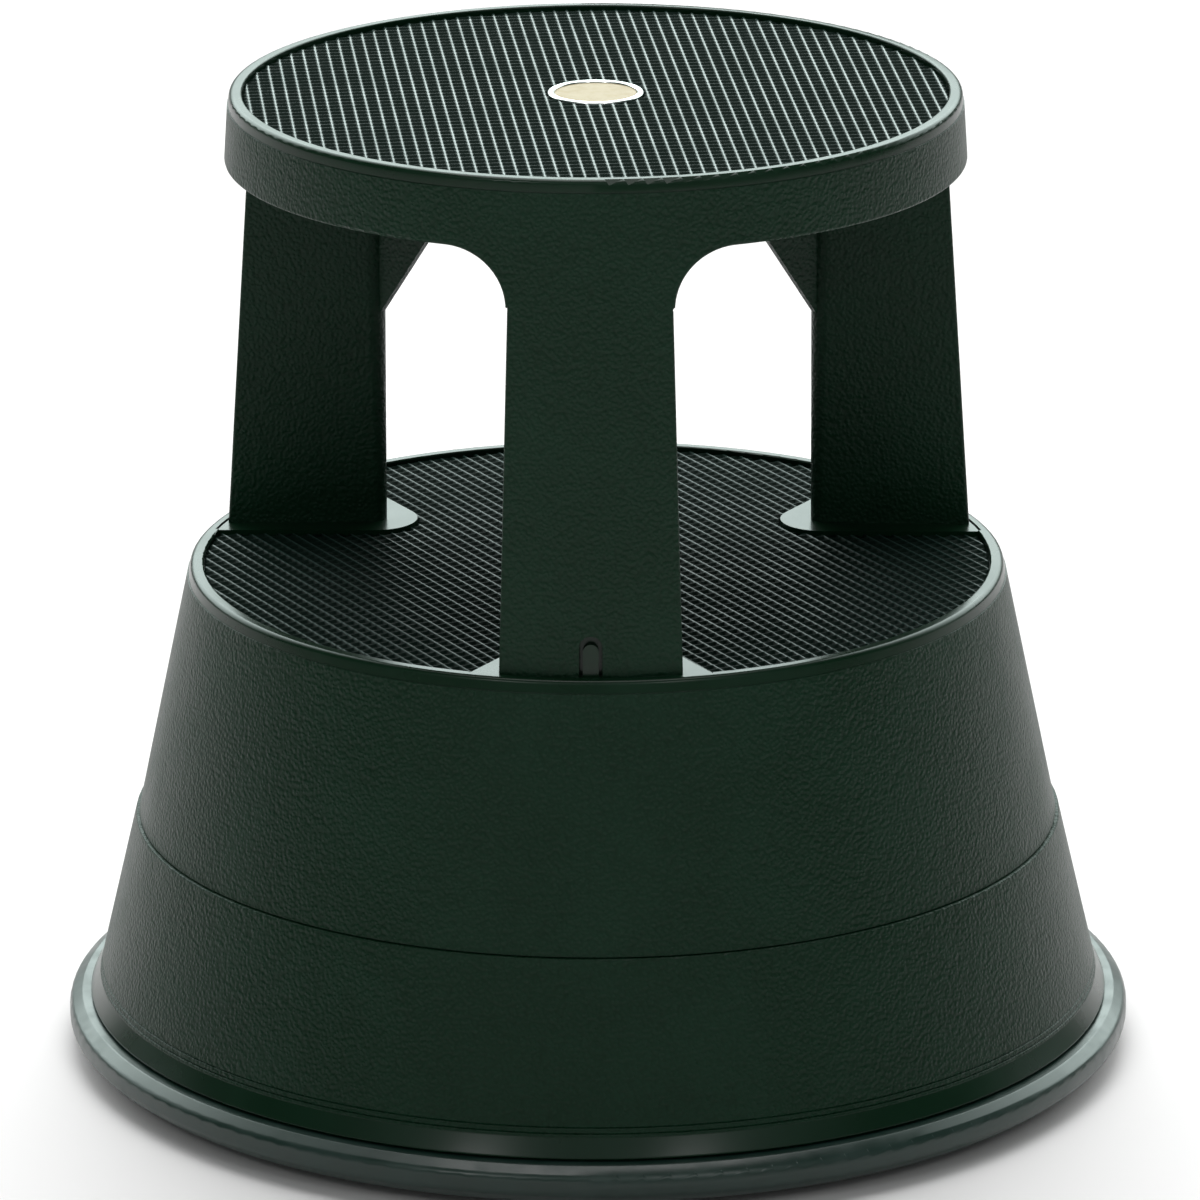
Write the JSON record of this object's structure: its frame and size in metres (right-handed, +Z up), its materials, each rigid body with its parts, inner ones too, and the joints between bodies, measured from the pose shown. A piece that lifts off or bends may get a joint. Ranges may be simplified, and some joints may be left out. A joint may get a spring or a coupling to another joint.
{
  "type": "step stool",
  "caption": "Round rolling step stool with two ribbed steps on a conical base, a rubber ring at its foot and sprung castors that sink under a person's weight.",
  "frame": {"origin": "on the floor under the middle of the stool, standing on its castors", "axes": "+Z up, the front leg towards -Y, +X to the right seen from the front"},
  "size_m": [0.45, 0.45, 0.413],
  "materials": {
    "body_plastic": "fine leather grain, very dark green-black",
    "tread_rubber": "square net of rounded ribs, satin",
    "ring_rubber": "smooth satin",
    "gold_trim": "satin gold, blank",
    "bright_trim": "bright",
    "frame_plastic": "moulded black",
    "bush_plastic": "natural acetal",
    "wheel_plastic": "moulded grey",
    "tyre_rubber": "soft grey-black",
    "zinc_steel": "zinc plated",
    "spring_steel": "oiled spring steel"
  },
  "bodies": {
    "stool": {"upper_step_shell": "body_plastic", "lower_step_shell": "body_plastic", "base_skirt": "body_plastic", "top_tread": "tread_rubber", "lower_tread": "tread_rubber", "badge_bezel": "bright_trim", "badge_disc": "gold_trim", "bumper_ring": "ring_rubber", "caster_frame": "frame_plastic", "leg_screws": "zinc_steel", "shell_screws": "zinc_steel", "frame_screws": "zinc_steel", "housing_screws": "zinc_steel", "front_housing": "frame_plastic", "front_lower_bush": "bush_plastic", "right_housing": "frame_plastic", "right_lower_bush": "bush_plastic", "left_housing": "frame_plastic", "left_lower_bush": "bush_plastic"},
    "front_slide": {"front_plunger": "zinc_steel", "front_spring": "spring_steel"},
    "front_swivel": {"front_fork": "zinc_steel", "front_kingpin": "zinc_steel", "front_retaining_ring": "spring_steel", "front_thrust_washer": "bush_plastic", "front_axle": "zinc_steel"},
    "front_wheel": {"front_wheel_hub": "wheel_plastic", "front_tyre": "tyre_rubber"},
    "right_slide": {"right_plunger": "zinc_steel", "right_spring": "spring_steel"},
    "right_swivel": {"right_fork": "zinc_steel", "right_kingpin": "zinc_steel", "right_retaining_ring": "spring_steel", "right_thrust_washer": "bush_plastic", "right_axle": "zinc_steel"},
    "right_wheel": {"right_wheel_hub": "wheel_plastic", "right_tyre": "tyre_rubber"},
    "left_slide": {"left_plunger": "zinc_steel", "left_spring": "spring_steel"},
    "left_swivel": {"left_fork": "zinc_steel", "left_kingpin": "zinc_steel", "left_retaining_ring": "spring_steel", "left_thrust_washer": "bush_plastic", "left_axle": "zinc_steel"},
    "left_wheel": {"left_wheel_hub": "wheel_plastic", "left_tyre": "tyre_rubber"}
  },
  "joints": [
    {"name": "front_spring_travel", "type": "slide", "parent": "stool", "child": "front_slide", "axis": [0, 0, 1], "range_m": [0, 0.008], "stiffness_N_per_m": 6000, "springref_m": -0.006, "deforming": ["front_spring"]},
    {"name": "front_swivel_turn", "type": "hinge", "parent": "front_slide", "child": "front_swivel", "pos_m": [0, -0.158, 0.038], "axis": [0, 0, 1], "continuous": true},
    {"name": "front_wheel_roll", "type": "hinge", "parent": "front_swivel", "child": "front_wheel", "pos_m": [0.012, -0.158, 0.016], "axis": [0, 1, 0], "continuous": true},
    {"name": "right_spring_travel", "type": "slide", "parent": "stool", "child": "right_slide", "axis": [0, 0, 1], "range_m": [0, 0.008], "stiffness_N_per_m": 6000, "springref_m": -0.006, "deforming": ["right_spring"]},
    {"name": "right_swivel_turn", "type": "hinge", "parent": "right_slide", "child": "right_swivel", "pos_m": [0.13683, 0.079, 0.038], "axis": [0, 0, 1], "continuous": true},
    {"name": "right_wheel_roll", "type": "hinge", "parent": "right_swivel", "child": "right_wheel", "pos_m": [0.13083, 0.08939, 0.016], "axis": [-0.866, -0.5, 0], "continuous": true},
    {"name": "left_spring_travel", "type": "slide", "parent": "stool", "child": "left_slide", "axis": [0, 0, 1], "range_m": [0, 0.008], "stiffness_N_per_m": 6000, "springref_m": -0.006, "deforming": ["left_spring"]},
    {"name": "left_swivel_turn", "type": "hinge", "parent": "left_slide", "child": "left_swivel", "pos_m": [-0.13683, 0.079, 0.038], "axis": [0, 0, 1], "continuous": true},
    {"name": "left_wheel_roll", "type": "hinge", "parent": "left_swivel", "child": "left_wheel", "pos_m": [-0.14283, 0.06861, 0.016], "axis": [0.866, -0.5, 0], "continuous": true}
  ]
}
